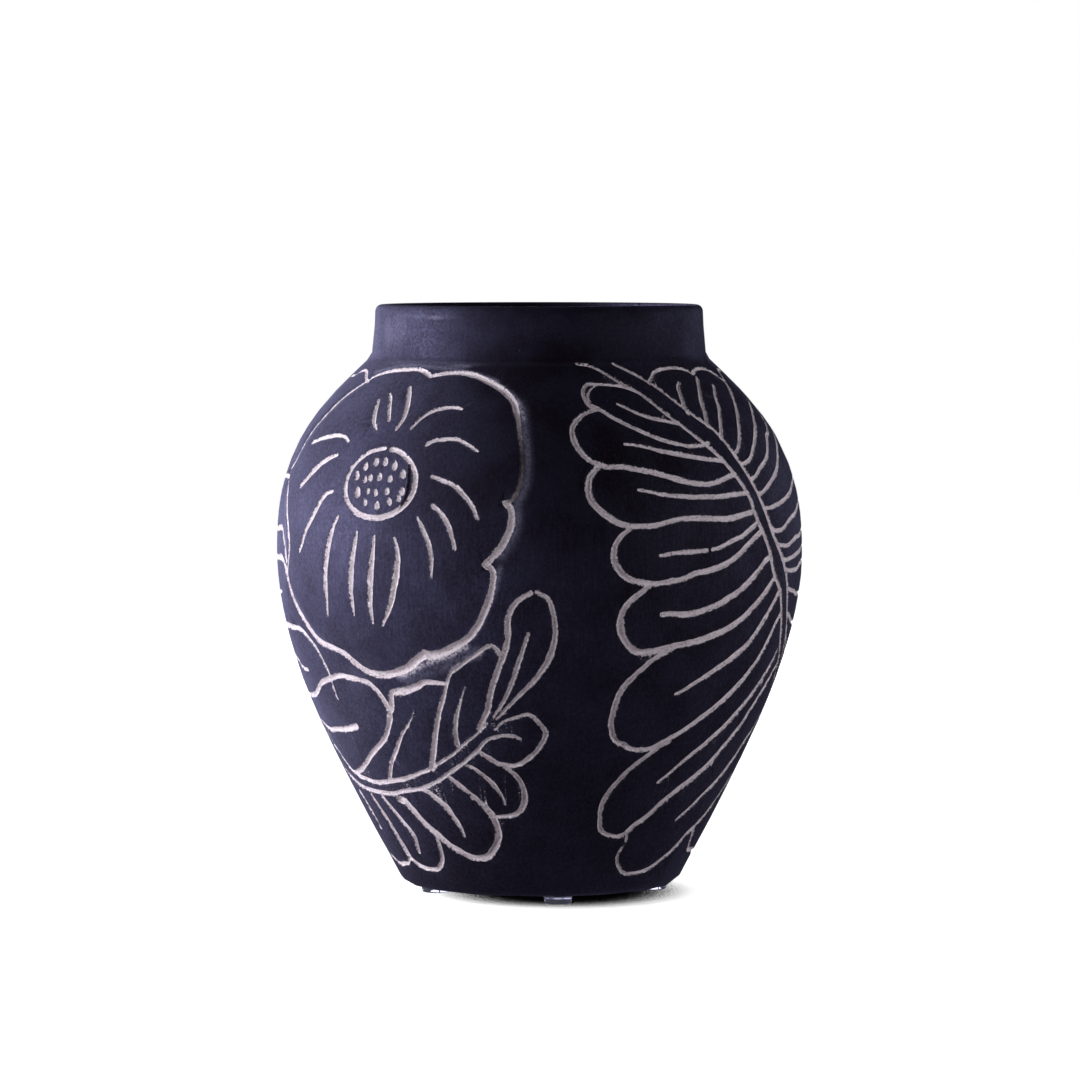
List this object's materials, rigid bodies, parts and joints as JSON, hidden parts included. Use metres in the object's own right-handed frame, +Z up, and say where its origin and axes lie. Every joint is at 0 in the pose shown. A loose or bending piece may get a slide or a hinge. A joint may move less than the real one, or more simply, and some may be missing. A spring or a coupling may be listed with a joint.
{
  "type": "carved black clay pot",
  "caption": "Round-bellied black clay pot with a short collar neck and an open mouth, standing on clear self-adhesive pads.",
  "frame": {"origin": "on the pot's axis, in the plane that the pads rest on", "axes": "+Z up the pot's axis, -Y towards the front, the side with the carved flower and the big frond, +X to the right seen from the front"},
  "size_m": [0.2368, 0.2368, 0.2635],
  "materials": {
    "black_clay": "matt, lightly burnished, unglazed; carved lines show pale",
    "clear_pad": "clear moulded polyurethane, smooth",
    "adhesive": "clear pressure-sensitive film"
  },
  "bodies": {
    "root": {"pot_body": "black_clay", "pad_front": "clear_pad", "pad_right": "clear_pad", "pad_back": "clear_pad", "pad_left": "clear_pad", "adhesive_front": "adhesive", "adhesive_right": "adhesive", "adhesive_back": "adhesive", "adhesive_left": "adhesive"}
  },
  "joints": []
}
